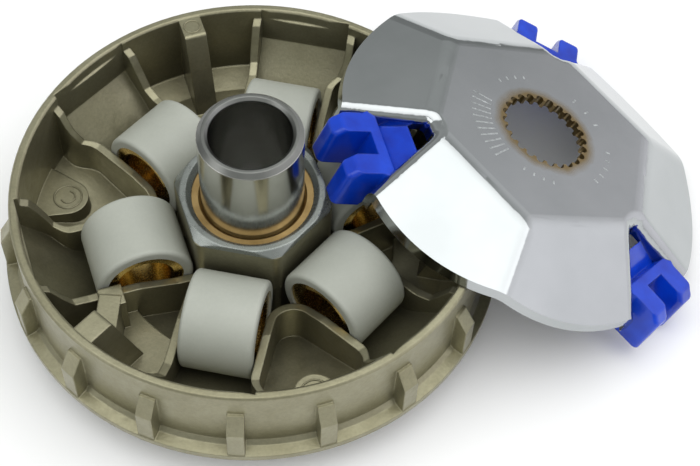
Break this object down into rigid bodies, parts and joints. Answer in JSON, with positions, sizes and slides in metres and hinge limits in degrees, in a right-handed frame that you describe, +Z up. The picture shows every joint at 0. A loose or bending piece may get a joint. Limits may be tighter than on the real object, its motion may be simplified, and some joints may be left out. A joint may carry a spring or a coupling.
{
  "type": "scooter variator set",
  "caption": "Scooter variator: round drive face with rollers in its channels, a boss sleeve in its hub, and a dished ramp plate with slide pieces leaning on the rim.",
  "frame": {"origin": "on the boss's bore axis, level with the lower end of the hub and boss, which stand on the ground", "axes": "+Z up along the bore, from the belt side of the drive face to its roller side; +X towards the side that the ramp plate leans over"},
  "size_m": [0.1466, 0.1136, 0.045],
  "materials": {
    "cast_face": "satin cast aluminium",
    "bush_bronze": "satin sintered bronze",
    "boss_steel": "ground steel",
    "roller_nylon": "matt off-white nylon",
    "roller_brass": "turned brass",
    "plate_chrome": "bright plated steel",
    "slide_blue": "gloss moulded plastic"
  },
  "bodies": {
    "movable_face": {"movable_face": "cast_face", "hub_bush": "bush_bronze"},
    "boss": {"boss_sleeve": "boss_steel"},
    "ramp_plate": {"ramp_plate": "plate_chrome", "slide_piece_1": "slide_blue", "slide_piece_2": "slide_blue", "slide_piece_3": "slide_blue"},
    "roller_1": {"roller_1_shell": "roller_nylon", "roller_1_core": "roller_brass"},
    "roller_2": {"roller_2_shell": "roller_nylon", "roller_2_core": "roller_brass"},
    "roller_3": {"roller_3_shell": "roller_nylon", "roller_3_core": "roller_brass"},
    "roller_4": {"roller_4_shell": "roller_nylon", "roller_4_core": "roller_brass"},
    "roller_5": {"roller_5_shell": "roller_nylon", "roller_5_core": "roller_brass"},
    "roller_6": {"roller_6_shell": "roller_nylon", "roller_6_core": "roller_brass"}
  },
  "joints": [
    {"name": "boss_slide", "type": "slide", "parent": "movable_face", "child": "boss", "axis": [0, 0, 1], "range_m": [-0.016, 0]},
    {"name": "roller_1_roll_out", "type": "hinge", "parent": "movable_face", "child": "roller_1", "pos_m": [-0.00185, -0.01317, 0.0422], "axis": [-0.9903, 0.1392, 0], "range_deg": [0, 25]},
    {"name": "roller_2_roll_out", "type": "hinge", "parent": "movable_face", "child": "roller_2", "pos_m": [0.01048, -0.00819, 0.0422], "axis": [-0.6157, -0.788, 0], "range_deg": [0, 19]},
    {"name": "roller_3_roll_out", "type": "hinge", "parent": "movable_face", "child": "roller_3", "pos_m": [0.01233, 0.00498, 0.0422], "axis": [0.3746, -0.9272, 0], "range_deg": [0, 19]},
    {"name": "roller_4_roll_out", "type": "hinge", "parent": "movable_face", "child": "roller_4", "pos_m": [0.00185, 0.01317, 0.0422], "axis": [0.9903, -0.1392, 0], "range_deg": [0, 25]},
    {"name": "roller_5_roll_out", "type": "hinge", "parent": "movable_face", "child": "roller_5", "pos_m": [-0.01048, 0.00819, 0.0422], "axis": [0.6157, 0.788, 0], "range_deg": [0, 25]},
    {"name": "roller_6_roll_out", "type": "hinge", "parent": "movable_face", "child": "roller_6", "pos_m": [-0.01233, -0.00498, 0.0422], "axis": [-0.3746, 0.9272, 0], "range_deg": [0, 25]},
    {"name": "ramp_plate_lift", "type": "slide", "parent": "movable_face", "child": "ramp_plate", "axis": [0, 0, 1], "range_m": [0, 0.06]}
  ]
}
